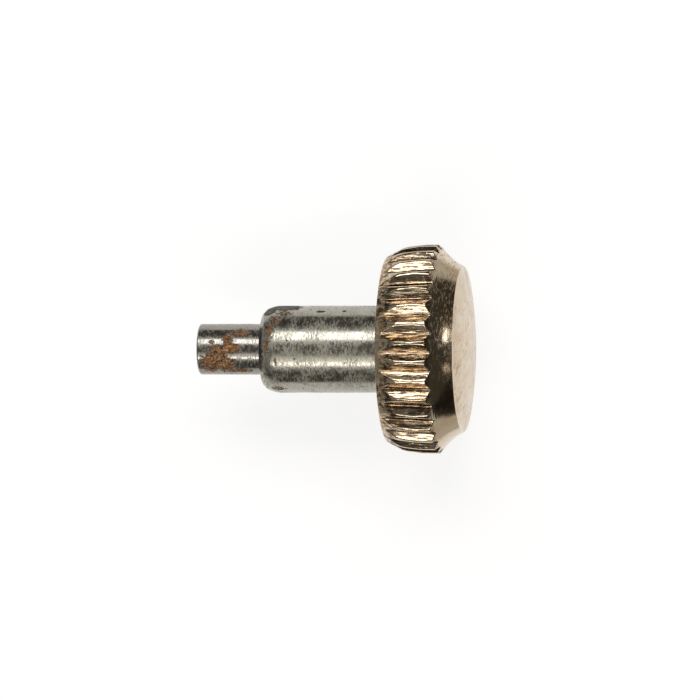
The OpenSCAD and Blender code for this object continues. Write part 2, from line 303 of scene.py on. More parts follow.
def makeRoseGold():
    look = goldLook
    material, add, point, noise = startMaterial("polishedRoseGold", look["noises"])
    parts = add("ShaderNodeSeparateXYZ", {"Vector": point})
    x, y, z = (parts.outputs[axis] for axis in "XYZ")
    radial = add("ShaderNodeCombineXYZ", {"Y": y, "Z": z})
    radius = add("ShaderNodeVectorMath", {0: radial}, operation="LENGTH").outputs["Value"]
    at = {zone: add("ShaderNodeMapRange", {"Value": x, "From Min": out, "From Max": inside})
          for zone, (out, inside) in look["zones"].items()}
    onCone, onBevel, inFlutes = (add("ShaderNodeMath", {0: at[rear], 1: at[front]}, operation="MULTIPLY")
                                 for rear, front in (("pastBand", "beforeFace"), ("bevel", "offBack"),
                                                     ("fluteRear", "fluteFront")))
    offCone = add("ShaderNodeMath", {0: 1.0, 1: onCone}, operation="SUBTRACT")

    hairlines = 0.0
    for turn in look["hairlineTurns"]:
        field = drawnNoise(add, point, look["hairlineSize"], 0.0, turn=turn)
        line = add("ShaderNodeMapRange", {"Value": field, "From Min": 0.70, "From Max": 0.76})
        hairlines = add("ShaderNodeMath", {0: hairlines, 1: line}, operation="MAXIMUM")
    hairlines = add("ShaderNodeMath", {0: hairlines, 1: offCone}, operation="MULTIPLY")
    streak = drawnNoise(add, point, look["streakSize"], 2.0, 0.6)
    coneRings = turningRings(add, point, look)
    outwards = add("ShaderNodeMath", {0: radius, 1: 1 / look["ringSpacing"]}, operation="MULTIPLY")
    outwards = add("ShaderNodeCombineXYZ", {"X": outwards, "Y": y, "Z": z})
    backRings = add("ShaderNodeTexNoise", {"Vector": outwards, "Scale": 1.0, "Detail": 2.0, "Roughness": 0.6})

    bottom = add("ShaderNodeMath", {0: x, 1: look["grooveRise"], 2: look["grooveFloor"]},
                 operation="MULTIPLY_ADD")
    above = add("ShaderNodeMath", {0: radius, 1: bottom}, operation="SUBTRACT")
    tarnish = add("ShaderNodeMapRange", {"Value": above, "From Min": look["tarnishTo"], "From Max": 0.0})
    for share in (inFlutes, look["tarnishShare"]):
        tarnish = add("ShaderNodeMath", {0: tarnish, 1: share}, operation="MULTIPLY")
    # painted shade with the grime: near black patches in the flutes' bottoms, which reach further on the -Y
    # side
    out, inside = look["grimeAndShadeTo"]
    grimeAndShade = add("ShaderNodeMapRange", {"Value": above, "From Min": out, "From Max": inside})
    below = add("ShaderNodeMapRange", {"Value": y, "From Min": -1.0, "From Max": -2.0, "To Max": 0.06})
    patchField = add("ShaderNodeMath", {0: streak, 1: below}, operation="ADD")
    grimeAndShadePatches = add("ShaderNodeMapRange", {"Value": patchField, "From Min": 0.49, "From Max": 0.57})
    for share in (grimeAndShadePatches, inFlutes, look["grimeAndShadeShare"]):
        grimeAndShade = add("ShaderNodeMath", {0: grimeAndShade, 1: share}, operation="MULTIPLY")

    warm = add("ShaderNodeMapRange", {"Value": noise["smudge"], "From Min": 0.35, "From Max": 0.7})
    colour = tint(look["colour"])
    for mask, paint in ((warm, "rosy"), (tarnish, "tarnish"), (grimeAndShade, "grimeAndShade")):
        colour = add("ShaderNodeMix", {"Factor": mask, "A": colour, "B": tint(look[paint])}, data_type="RGBA")

    scuffs = drawnNoise(add, point, look["scuffSize"], 3.0, 0.7)
    scuffed = add("ShaderNodeMapRange", {"Value": scuffs, "From Min": 0.50, "From Max": 0.66})
    rubbed = add("ShaderNodeMapRange",
                 {"Value": y, "From Min": -1.3, "From Max": 0.9, "To Min": 0.2, "To Max": 1.1})
    for share in (onCone, rubbed):
        scuffed = add("ShaderNodeMath", {0: scuffed, 1: share}, operation="MULTIPLY")
    worn = add("ShaderNodeMapRange", {"Value": noise["patch"], "From Min": 0.47, "From Max": 0.55})
    worn = add("ShaderNodeMath", {0: worn, 1: onBevel}, operation="MULTIPLY")
    scuffed = add("ShaderNodeMath", {0: scuffed, 1: worn}, operation="MAXIMUM")
    rough = add("ShaderNodeMapRange", {"Value": noise["smudge"], "From Min": 0.3, "From Max": 0.75,
                                       "To Min": look["roughMin"], "To Max": look["roughMax"]})
    for extra, share in (("hairlineRough", hairlines), ("coneRough", onCone), ("faceRough", at["face"]),
                         ("scuffRough", scuffed), ("grimeAndShadeRough", grimeAndShade)):
        rough = add("ShaderNodeMath", {0: share, 1: look[extra], 2: rough}, operation="MULTIPLY_ADD")

    waveShare = add("ShaderNodeMapRange", {"Value": x, "From Min": 1.6, "From Max": 1.5,
                                           "To Min": look["waveShareOnCone"], "To Max": 1.0})
    swell = add("ShaderNodeMath", {0: noise["wave"], 1: waveShare}, operation="MULTIPLY")
    for share in (at["fluteFront"], at["offBack"]):
        streak = add("ShaderNodeMath", {0: streak, 1: share}, operation="MULTIPLY")
    rings = add("ShaderNodeMath", {0: coneRings, 1: onCone}, operation="MULTIPLY")
    rings = add("ShaderNodeMix", {"Factor": at["offBack"], "A": backRings, "B": rings}, data_type="FLOAT")
    endMaterial(add, look, {"Base Color": colour, "Metallic": 1.0, "Roughness": rough},
                {"waveHeight": swell, "streakHeight": streak, "ringHeight": rings,
                 "hairlineHeight": hairlines, "grainHeight": noise["grain"]})
    return material


# Nickel silver bar, turned on a lathe and dulled by years of sweat: fine rings round the axis, a greenish
# grey film in specks, small black pits, and rust and flakes lifting at the rolled nose.
nickelLook = {
    "colour": "#A8A398", "film": "#A2A192", "pit": "#1B1A16", "flake": "#77766D", "rust": "#96623A",
    "rustDark": "#3C2614", "grimeAndShade": "#23221C",
    "roughMin": 0.13, "roughMax": 0.22, "roughBlotches": (0.35, 0.65), "dullRough": 0.45, "filmShare": 0.68,
    "filmBlotches": (0.38, 0.62, 0.22), "filmSpecks": (0.42, 0.58),
    "noises": {"blotch": (2.0, 4.0, 0.6), "edge": (12.0, 6.0, 0.8)},
    # sizes in mm. The rings are drawn coarser than the 0.01 mm of a real finish
    "ringSpacing": 0.035, "ringChange": 0.9, "speckSize": (0.045, 0.12, 0.12),
    "ringHeight": 0.0030, "speckHeight": 0.0016, "spoiltHeight": -0.010,
    "dotsPerMm": 5.5, "dotAbove": 0.80, "dotRadius": (0.17, 0.10),
    # where the painted shade lies on the nose beside the pin, and how unevenly its edge runs
    "paintedShadeX": (-3.26, -3.32), "paintedShadeY": (0.68, 0.56), "paintedShadeUneven": 0.40,
    # how far the noise frays each set of spots, and how deep their cores are
    "fray": {"flakeSpots": (2.2, 0.9), "rustSpots": (4.8, 0.80), "pitSpots": (2.0, 1.0)},
    "flakeSpots": [((-3.03, 1.20, 0.34), (0.54, 0.13, 0.32)), ((-3.39, 1.04, 0.55), (0.20, 0.10, 0.20))],
    "rustSpots": [((-2.91, 1.02, 0.72), (0.26, 0.09, 0.25)), ((-3.15, 0.84, 0.88), (0.16, 0.18, 0.25)),
                  ((-3.29, 0.52, 1.04), (0.13, 0.26, 0.30)), ((-3.37, 0.12, 1.10), (0.11, 0.34, 0.30)),
                  ((-3.10, -0.38, 1.18), (0.04, 0.15, 0.20)), ((-3.09, -1.12, 0.55), (0.22, 0.07, 0.20)),
                  ((-3.37, -0.2, -1.0), (0.14, 0.5, 0.3))],
    "pitSpots": [((-1.88, 1.075, 0.64), (0.15, 0.045, 0.1)), ((-1.19, 1.09, 0.62), (0.07, 0.03, 0.1)),
                 ((-2.59, 1.16, 0.46), (0.09, 0.05, 0.12)), ((-0.77, -0.9, -0.86), (0.12, 0.05, 0.1))],
}


def makeNickel():
    look = nickelLook
    material, add, point, noise = startMaterial("turnedNickelSilver", look["noises"])
    speck = drawnNoise(add, point, look["speckSize"], 4.0, 0.75)
    film = dullFilm(add, look, noise["blotch"], speck)

    masks = {}
    for label, (spread, core) in look["fray"].items():
        frayed = frayedSpots(add, point, look[label], noise["edge"], spread, core, 0.04)
        masks[label] = add("ShaderNodeMapRange", {"Value": frayed, "From Min": 0.52, "From Max": 0.68})
        if label == "flakeSpots":
            flakeRim = add("ShaderNodeMapRange", {"Value": frayed, "From Min": 0.30, "From Max": 0.40})
    cells = add("ShaderNodeTexVoronoi", {"Vector": point, "Scale": look["dotsPerMm"], "Randomness": 1.0})
    chosen = add("ShaderNodeSeparateColor", {"Color": cells.outputs["Color"]})
    few = add("ShaderNodeMath", {0: chosen.outputs["Red"], 1: look["dotAbove"]}, operation="GREATER_THAN")
    out, inside = look["dotRadius"]
    dot = add("ShaderNodeMapRange", {"Value": cells.outputs["Distance"], "From Min": out, "From Max": inside})
    dot = add("ShaderNodeMath", {0: dot, 1: few}, operation="MULTIPLY")
    pit = add("ShaderNodeMath", {0: dot, 1: masks["pitSpots"]}, operation="MAXIMUM")

    # painted shade: the nose goes dark next to the pin, only where y is near 0
    at = add("ShaderNodeSeparateXYZ", {"Vector": point}).outputs
    uneven = add("ShaderNodeMath", {0: noise["edge"], 1: look["paintedShadeUneven"], 2: at["X"]},
                 operation="MULTIPLY_ADD")
    aside = add("ShaderNodeMath", {0: at["Y"]}, operation="ABSOLUTE")
    grimeAndShade = 1.0
    for place, (out, inside) in ((uneven, look["paintedShadeX"]), (aside, look["paintedShadeY"])):
        near = add("ShaderNodeMapRange", {"Value": place, "From Min": out, "From Max": inside})
        grimeAndShade = add("ShaderNodeMath", {0: grimeAndShade, 1: near}, operation="MULTIPLY")

    fleck = add("ShaderNodeMapRange", {"Value": speck, "From Min": 0.42, "From Max": 0.56})
    dark, black = tint(look["rustDark"]), tint(look["pit"])
    oxide, scale = (add("ShaderNodeMix", {"Factor": fleck, "A": dark, "B": paint}, data_type="RGBA")
                    for paint in (tint(look["rust"]), tint(look["flake"])))
    colour = tint(look["colour"])
    for mask, paint in ((film, tint(look["film"])), (grimeAndShade, tint(look["grimeAndShade"])), (masks["rustSpots"], oxide),
                        (flakeRim, black), (masks["flakeSpots"], scale), (pit, black)):
        colour = add("ShaderNodeMix", {"Factor": mask, "A": colour, "B": paint}, data_type="RGBA")
    spoilt = masks["rustSpots"]
    for mask in (flakeRim, pit, grimeAndShade):
        spoilt = add("ShaderNodeMath", {0: spoilt, 1: mask}, operation="MAXIMUM")
    metallic, rough = dulledMetal(add, look, noise["blotch"], film, spoilt)
    endMaterial(add, look, {"Base Color": colour, "Metallic": metallic, "Roughness": rough},
                {"ringHeight": turningRings(add, point, look), "speckHeight": speck, "spoiltHeight": spoilt})
    return material


# Carbon steel bar, turned: bright where it is bare, with a crust of orange-brown rust and pale salts.
steelLook = {
    "colour": "#96928A", "rustDark": "#24150A", "rust": "#92602F", "rustPale": "#DCC4A2", "salt": "#EDE6DA",
    "roughMin": 0.13, "roughMax": 0.22, "roughBlotches": (0.35, 0.7), "dullRough": 0.5, "filmShare": 0.75,
    "filmBlotches": (0.4, 0.65, 0.35), "filmSpecks": (0.46, 0.60),
    "noises": {"blotch": (3.0, 4.0, 0.6), "speck": (16.0, 4.0, 0.75), "edge": (9.0, 8.0, 0.8),
               "crust": (19.0, 6.0, 0.8)},
    # sizes in mm, the rings as on the nickel
    "ringSpacing": 0.030, "ringChange": 0.9, "speckSize": (0.042, 0.11, 0.11),
    "ringHeight": 0.0026, "speckHeight": 0.0010, "crustHeight": 0.022,
    # where the rust changes from dark to middle, to pale and to salt
    "rustSteps": {"rust": ("speck", 0.45, 0.50), "rustPale": ("crust", 0.56, 0.60),
                  "salt": ("crust", 0.62, 0.635)},
    "rustSpots": [((-5.05, -0.40, 0.61), (0.34, 0.34, 0.40)), ((-4.69, -0.42, 0.60), (0.36, 0.28, 0.40)),
                  ((-4.81, -0.06, 0.73), (0.30, 0.18, 0.30)), ((-4.55, 0.24, 0.69), (0.17, 0.28, 0.30)),
                  ((-4.22, 0.46, 0.57), (0.26, 0.12, 0.25)), ((-4.45, 0.03, 0.73), (0.26, 0.14, 0.30)),
                  ((-5.04, 0.21, 0.70), (0.08, 0.06, 0.20)), ((-4.29, -0.60, 0.41), (0.36, 0.08, 0.15)),
                  ((-4.69, 0.35, -0.60), (0.35, 0.25, 0.30)), ((-5.14, -0.30, -0.60), (0.20, 0.30, 0.25))],
}


def makeSteel():
    look = steelLook
    material, add, point, noise = startMaterial("turnedSteelRusted", look["noises"])
    film = dullFilm(add, look, noise["blotch"], drawnNoise(add, point, look["speckSize"], 4.0, 0.75))
    frayed = frayedSpots(add, point, look["rustSpots"], noise["edge"], 4.2, 1.0, 0.03)
    rusted = add("ShaderNodeMapRange", {"Value": frayed, "From Min": 0.46, "From Max": 0.54})

    oxide = tint(look["rustDark"])
    for paint, (label, low, high) in look["rustSteps"].items():
        share = add("ShaderNodeMapRange", {"Value": noise[label], "From Min": low, "From Max": high})
        oxide = add("ShaderNodeMix", {"Factor": share, "A": oxide, "B": tint(look[paint])}, data_type="RGBA")
    colour = add("ShaderNodeMix", {"Factor": rusted, "A": tint(look["colour"]), "B": oxide}, data_type="RGBA")
    metallic, rough = dulledMetal(add, look, noise["blotch"], film, rusted)
    lifted = add("ShaderNodeMath", {0: noise["crust"], 1: rusted}, operation="MULTIPLY")
    rings = turningRings(add, point, look)
    endMaterial(add, look, {"Base Color": colour, "Metallic": metallic, "Roughness": rough},
                {"ringHeight": rings, "speckHeight": noise["speck"], "crustHeight": lifted})
    return material


# Hardened spring wire, drawn through a die: fine marks and a thin blue-grey temper film.
springLook = {"colour": "#8A929C", "haze": "#6A6F78", "roughMin": 0.22, "roughMax": 0.42, "markHeight": 0.003,
              "noises": {"mark": (14.0, 4.0, 0.6), "haze": (2.5, 2.0, 0.5)}}


def makeSpringSteel():
    look = springLook
    material, add, _, noise = startMaterial("drawnSpringSteel", look["noises"])
    bare, haze = tint(look["colour"]), tint(look["haze"])
    colour = add("ShaderNodeMix", {"Factor": noise["haze"], "A": bare, "B": haze}, data_type="RGBA")
    rough = add("ShaderNodeMapRange",
                {"Value": noise["mark"], "To Min": look["roughMin"], "To Max": look["roughMax"]})
    endMaterial(add, look, {"Base Color": colour, "Metallic": 1.0, "Roughness": rough},
                {"markHeight": noise["mark"]}, strength=0.8)
    return material


# Nitrile rubber, moulded: matt black with a faint bloom and a fine mould grain.
rubberLook = {"colour": "#151515", "bloom": "#2B2A28", "roughMin": 0.55, "roughMax": 0.75,
              "grainHeight": 0.003, "noises": {"grain": (40.0, 2.0, 0.5), "bloom": (3.0, 4.0, 0.5)}}


def makeRubber():
    look = rubberLook
    material, add, _, noise = startMaterial("mouldedNitrile", look["noises"])
    black, bloom = tint(look["colour"]), tint(look["bloom"])
    colour = add("ShaderNodeMix", {"Factor": noise["bloom"], "A": black, "B": bloom}, data_type="RGBA")
    rough = add("ShaderNodeMapRange",
                {"Value": noise["bloom"], "To Min": look["roughMin"], "To Max": look["roughMax"]})
    endMaterial(add, look, {"Base Color": colour, "Roughness": rough, "IOR": 1.52},
                {"grainHeight": noise["grain"]}, strength=0.6)
    return material


roseGold = makeRoseGold()
nickelSilver = makeNickel()
rustedSteel = makeSteel()
springSteel = makeSpringSteel()
nitrile = makeRubber()
print("materials made")


# The crown cap is the gold shell with its flutes. Lengths are in millimetres, from the back of the head.
shell = {
    "flutes": 33, "phase": 2.1,                    # degrees from +Z towards -Y to the first groove
    "rootRear": 2.69, "rootRise": 0.0715, "vAngle": 98,
    "crestBlend": 0.030, "rootBlend": 0.014,       # how softly the edges are rounded by polishing
    "bandStart": 0.06, "bandEnd": 2.0, "backRadius": 2.67, "bandRadius": 3.0, "bandFront": 1.46,
    "shoulder": ((0.42, 2.892, 0.5), (0.58, 2.94, 0.6), (1.05, 3.0, 1.2)),   # x, radius, fillet
    "coneHollow": 0.075, "faceEdgeX": 2.17, "faceRadius": 2.38, "domeHeight": 0.25,
    "lipRadius": 2.202, "lipWall": 0.12, "innerRadius": 2.43, "innerBandEnd": 1.57, "innerFaceRadius": 2.128,
    "wall": 0.30,
    "edgeReach": 0.012, "grooveLeast": 0.010, "crestLeast": 0.007,   # radians, for the mesh's columns
}
# the face's dome is a cap of a sphere
domeRadius = (shell["faceRadius"] ** 2 + shell["domeHeight"] ** 2) / (2 * shell["domeHeight"])
domeCentre = shell["faceEdgeX"] + shell["domeHeight"] - domeRadius


def domeArc(inset, fromRadius, steps):  # points from fromRadius in to the axis
    radius = domeRadius - inset
    turns = [math.asin(fromRadius / radius) * (1 - i / steps) for i in range(steps + 1)]
    return [(domeCentre + radius * math.cos(a), radius * math.sin(a)) for a in turns]


def headOutline():
    s = shell
    run, fall = s["faceEdgeX"] - s["bandFront"], s["bandRadius"] - s["faceRadius"]
    cone = [(s["bandFront"] + run * t, s["bandRadius"] - fall * t - 4 * t * (1 - t) * s["coneHollow"])
            for t in eighths]
    dome = domeArc(0, s["faceRadius"], 12)
    outside = filleted([(0.0, s["lipRadius"], 0), (0.0, s["backRadius"], 0.025), *s["shoulder"],
                        (*cone[0], 0.05), (*cone[1], 0)])
    outside += cone[2:-1]
    outside += filleted([(*cone[-2], 0), (*dome[0], 0.03), (*dome[1], 0)])[1:] + dome[2:]
    inside = [(s["lipWall"], s["lipRadius"]), (s["lipWall"], s["innerRadius"]),
              (s["innerBandEnd"], s["innerRadius"]), *domeArc(s["wall"], s["innerFaceRadius"], 4)]
    return outside, inside


# Rows are closest where the flutes run out, at the rear and at the front of the band.
rearFrom, rearTo, middleFrom, frontFrom, frontTo = 0.08, 0.30, 0.70, 1.45, 1.64   # mm
fineRow, middleRow, coarseRow = 0.02, 0.06, 0.13


def rowStep(x):
    if rearFrom < x < rearTo or frontFrom < x < frontTo:
        return fineRow
    return middleRow if rearTo <= x < middleFrom else coarseRow


def fluteSector():
    s = shell
    outside, inside = headOutline()
    rowStops = (rearFrom, rearTo, middleFrom, frontTo)
    fine = [outside[0]]
    for before, after in zip(outside, outside[1:]):
        stops = [before] + [(x, before[1] + (after[1] - before[1]) * (x - before[0]) / (after[0] - before[0]))
                            for x in rowStops if before[0] < x < after[0]] + [after]
        for a, b in zip(stops, stops[1:]):
            middle = (a[0] + b[0]) / 2
            fine += subdivided([a, b], rowStep(middle))[1:] if middle < s["bandEnd"] else [b]
    half = math.pi / s["flutes"]
    cot = 1 / math.tan(math.radians(s["vAngle"] / 2))
    swing, lean = math.sqrt(1 + cot * cot), math.atan(cot)

    def grooveRadius(x, a):
        bent = math.sqrt(math.sin(a) ** 2 + s["rootBlend"] ** 2)
        return (s["rootRear"] + s["rootRise"] * x) / (math.cos(a) - cot * bent)

    def edgeAngle(x, r):
        share = (s["rootRear"] + s["rootRise"] * x) / max(r, 1e-6) / swing
        return max(0.0, math.acos(min(1.0, share)) - lean)

    def columns(edge):  # angles, closest in the groove's bottom and at both sides of its edge
        edge = min(max(edge, s["grooveLeast"]), half - s["crestLeast"])
        rooms = (0.24 * edge, 0.4 * edge, 0.4 * (half - edge))
        low, near, far = (min(s["edgeReach"], room) for room in rooms)
        side = [0, low * 0.5, low, edge * 0.40, edge * 0.68]
        side += [edge - near * share for share in (1, 0.66, 0.33)] + [edge]
        side += [edge + far * share for share in (0.33, 0.66, 1)] + [(edge + far + half) / 2, half]
        return [-a for a in reversed(side[1:])] + side

    rows = []
    for x, r in fine:
        row = []
        for a in columns(edgeAngle(x, r)):
            radius = r
            if s["bandStart"] < x < s["bandEnd"]:
                v = grooveRadius(x, a)
                overlap = max(s["crestBlend"] - abs(r - v), 0) / s["crestBlend"]
                radius = min(r, v) - overlap * overlap * s["crestBlend"] / 4
            row.append((x, -radius * math.sin(a), radius * math.cos(a)))
        rows.append(row)
    for x, r in inside:
        rows.insert(0, [(x, -r * math.sin(a), r * math.cos(a)) for a in columns(0)])
    faces = []
    across = len(rows[0])
    for i in range(len(rows) - 1):
        for j in range(across - 1):
            a, b = i * across + j, (i + 1) * across + j
            faces.append((a, a + 1, b + 1, b))
    return meshOf("fluteSector", [v for row in rows for v in row], faces)


fluteSizes = {"Flutes": shell["flutes"], "First Angle": math.radians(shell["phase"])}
fluteTree, add, given = newTree("flutesRoundTheBand", fluteSizes)
spots = add("GeometryNodeMeshLine", {"Count": given["Flutes"], "Offset": (0, 0, 0)})
index = add("GeometryNodeInputIndex")
turn = add("ShaderNodeMath", {0: 2 * math.pi, 1: given["Flutes"]}, operation="DIVIDE")
angle = add("ShaderNodeMath", {0: index, 1: turn, 2: given["First Angle"]}, operation="MULTIPLY_ADD")
turned = add("ShaderNodeCombineXYZ", {"X": angle})
placed = add("GeometryNodeInstanceOnPoints",
             {"Points": spots, "Instance": given["Geometry"], "Rotation": turned})
endTree(add, given, placed)

crownCap = grown("crownCap", fluteTree, fluteSizes, roseGold, 60, fluteSector())
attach(crownCap, "crown")
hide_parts("crown_cap")
print("crown cap:", len(crownCap.data.polygons), "faces")


# The post holds the stop ring behind its rolled nose, then a hexagon bore and the spring's bore.
post = {"radius": 1.25, "noseX": -3.62, "noseWall": 0.24, "flatRadius": 1.03, "opening": 0.80,
        "taperLength": 0.12, "taperRadius": 1.15, "roundLength": 0.40,
        "neckX": 0.80, "neckRadius": 1.06, "chamfer": 0.02, "endX": 1.88, "springBore": 0.80,
        "ringLength": 0.26, "ringBore": 0.76, "ringRadius": 1.04, "seatRadius": 1.05,
        "hexFlats": 1.78, "hexLength": 2.50, "gap": 0.01}
p = post
seatFrom = p["noseX"] + p["noseWall"]
hexFrom = seatFrom + p["ringLength"] + 2 * p["gap"]
hexTo = hexFrom + p["hexLength"]


def hexRadius(flats):
    return lambda a: flats / 2 / math.cos((a % (math.pi / 3)) - math.pi / 6)


rounding = [(p["noseX"] + p["taperLength"] + p["roundLength"] * t,
             p["taperRadius"] + (p["radius"] - p["taperRadius"]) * (2 - t) * t) for t in eighths]
outline = filleted([(seatFrom, p["opening"], 0), (p["noseX"], p["opening"], 0.03),
                    (p["noseX"], p["flatRadius"], 0.08), (*rounding[0], 0.15), (*rounding[1], 0)])
outline += rounding[2:] + subdivided([rounding[-1], (p["neckX"] - p["chamfer"], p["radius"])], 0.2)[1:]
boreWall = hexRadius(p["hexFlats"])
outline += [(p["neckX"], p["radius"] - p["chamfer"]), (p["neckX"], p["neckRadius"]),
            (p["endX"], p["neckRadius"]), (p["endX"], p["springBore"]), (hexTo, p["springBore"]),
            (hexTo, boreWall), (hexFrom, boreWall), (hexFrom, p["seatRadius"]), (seatFrom, p["seatRadius"])]
postTube = turnedPiece("postTube", outline, 192, nickelSilver)
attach(postTube, "crown")
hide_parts("post_tube")

core = {"radius": 2.42, "lipRadius": 2.19, "lipEnd": 0.14, "thread": 1.80, "threadLength": 0.85,
        "slot": 1.95, "slotEnd": 1.01, "seat": 1.88, "floorX": 1.43, "bore": 1.07, "boreEnd": 1.89,
        "domeInset": 0.31, "domeRadius": 2.12, "bandEnd": 1.56, "mouth": 0.06}
c = core
outline = filleted([(c["lipEnd"], c["lipRadius"], 0), (0.0, c["lipRadius"], 0.02),
                    (0.0, c["thread"] + c["mouth"], 0.02), (c["mouth"], c["thread"], 0.02),
                    (c["threadLength"], c["thread"], 0)])
outline += [(c["threadLength"], c["slot"]), (c["slotEnd"], c["slot"]),
            (c["slotEnd"], c["seat"]), (c["floorX"], c["seat"]),
            (c["floorX"], c["bore"]), (c["boreEnd"], c["bore"]), (c["boreEnd"], 0.0)]
outline += reversed(domeArc(c["domeInset"], c["domeRadius"], 6))
outline += [(c["bandEnd"], c["radius"]), (c["lipEnd"], c["radius"])]
crownCore = turnedPiece("crownCore", outline, 128, nickelSilver)
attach(crownCore, "crown")
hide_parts("crown_core")


def ringOutline(start, end, inner, outer, innerFillet, outerFillet):
    seam = (start, (inner + outer) / 2, 0)
    return filleted([seam, (start, inner, innerFillet), (end, inner, innerFillet), (end, outer, outerFillet),
                     (start, outer, outerFillet), seam])[:-1]


ringStart = seatFrom + p["gap"]
outline = ringOutline(ringStart, ringStart + p["ringLength"], p["ringBore"], p["ringRadius"], 0.03, 0.02)
stopRing = turnedPiece("stopRing", outline, 96, rustedSteel)
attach(stopRing, "crown")
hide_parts("stop_ring")
print("post, core and stop ring made")


# The stem socket: a pin with a tapped hole, a hexagon head and a spigot that centres the spring.
socket = {"endX": -5.48, "radius": 0.73, "chamfer": 0.04, "hexLength": 1.00, "hexFlats": 1.72,
          "spigot": 0.42, "spigotLength": 0.50, "tap": 0.45, "tapLength": 2.60, "drillPoint": 0.27,
          "mouth": 0.07}
k = socket
tapEnd = k["endX"] + k["tapLength"]
headEnd = hexFrom + k["hexLength"]
spigotEnd = headEnd + k["spigotLength"]
outline = [(tapEnd + k["drillPoint"], 0.0)]
outline += filleted([(tapEnd, k["tap"], 0), (k["endX"] + k["mouth"], k["tap"], 0.02),
                     (k["endX"], k["tap"] + k["mouth"], 0.02), (k["endX"], k["radius"] - k["chamfer"], 0.02),
                     (k["endX"] + k["chamfer"], k["radius"], 0.02), (hexFrom, k["radius"], 0)])
headWall = hexRadius(k["hexFlats"])
outline += [(hexFrom, headWall), (headEnd, headWall), (headEnd, k["spigot"]),
            (spigotEnd - k["chamfer"], k["spigot"]),
            (spigotEnd, k["spigot"] - k["chamfer"]), (spigotEnd, 0.0)]
stemSocket = turnedPiece("stemSocket", outline, 144, rustedSteel, isLoop=False)
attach(stemSocket, "stem_socket")
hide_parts("stem_socket")
print("stem socket made")


# One tree makes both threads, a helical ridge inside a bore.
stemRidge = {"From": (k["endX"] + 0.08) * mm, "Pitch": 0.225 * mm, "Turns": 10.5, "Bore Radius": 0.455 * mm,
             "Root Width": 0.19 * mm, "Crest Width": 0.05 * mm, "Height": 0.11 * mm}
caseRidge = {"From": 0.1 * mm, "Pitch": 0.25 * mm, "Turns": 2.9, "Bore Radius": 1.805 * mm,
             "Root Width": 0.21 * mm, "Crest Width": 0.05 * mm, "Height": 0.12 * mm}
ridgeTree, add, given = newTree("ridgeInBore", stemRidge)
length = add("ShaderNodeMath", {0: given["Pitch"], 1: given["Turns"]}, operation="MULTIPLY")
halfHeight = add("ShaderNodeMath", {0: given["Height"], 1: 0.45}, operation="MULTIPLY")  # its root sinks in
helixRadius = add("ShaderNodeMath", {0: given["Bore Radius"], 1: halfHeight}, operation="SUBTRACT")
helix = add("GeometryNodeCurveSpiral", {"Resolution": 48, "Rotations": given["Turns"], "Height": length,
                                        "Start Radius": helixRadius, "End Radius": helixRadius})
upright = add("GeometryNodeSetCurveNormal", {"Curve": helix}, mode="Z_UP")
tooth = add("GeometryNodeCurvePrimitiveQuadrilateral",
            {"Bottom Width": given["Root Width"], "Top Width": given["Crest Width"],
             "Height": given["Height"], "Offset": 0.0}, mode="TRAPEZOID")
along = add("GeometryNodeSplineParameter").outputs["Factor"]
fromEnd = add("ShaderNodeMath", {0: 1.0, 1: along}, operation="SUBTRACT")
nearer = add("ShaderNodeMath", {0: along, 1: fromEnd}, operation="MINIMUM")
taper = add("ShaderNodeMapRange", {"Value": nearer, "From Max": 0.04, "To Min": 0.15, "To Max": 1.0})
ridge = add("GeometryNodeCurveToMesh",
            {"Curve": upright, "Profile Curve": tooth, "Scale": taper, "Fill Caps": True})
start = add("ShaderNodeCombineXYZ", {"X": given["From"]})
laid = add("GeometryNodeTransform",
           {"Geometry": ridge, "Translation": start, "Rotation": (0, math.pi / 2, 0)})
endTree(add, given, laid)

stemThread = grown("stemThread", ridgeTree, stemRidge, rustedSteel, 35)
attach(stemThread, "stem_socket")
caseThread = grown("caseThread", ridgeTree, caseRidge, nickelSilver, 35)
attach(caseThread, "crown")
print("threads made")


# The coil spring stands between the socket's hexagon head and the end of the post.
coil = {"start": -2.09, "end": 1.88, "wire": 0.20, "meanRadius": 0.63, "closedPitch": 0.21, "openTurns": 7,
        "stepsPerTurn": 40}
openPitch = (coil["end"] - coil["start"] - coil["wire"] - 2 * coil["closedPitch"]) / coil["openTurns"]
coilSizes = {"Start": coil["start"] * mm, "Wire": coil["wire"] * mm, "Mean Radius": coil["meanRadius"] * mm,
             "Closed Pitch": coil["closedPitch"] * mm, "Open Pitch": openPitch * mm,
             "Open Turns": coil["openTurns"], "Steps Per Turn": coil["stepsPerTurn"]}

springTree, add, given = newTree("closedEndedCoil", coilSizes)
turns = add("ShaderNodeMath", {0: given["Open Turns"], 1: 2.0}, operation="ADD")
count = add("ShaderNodeMath", {0: turns, 1: given["Steps Per Turn"], 2: 1.0}, operation="MULTIPLY_ADD")
wirePoints = add("GeometryNodeMeshLine", {"Count": count, "Offset": (0, 0, 0)})
index = add("GeometryNodeInputIndex")
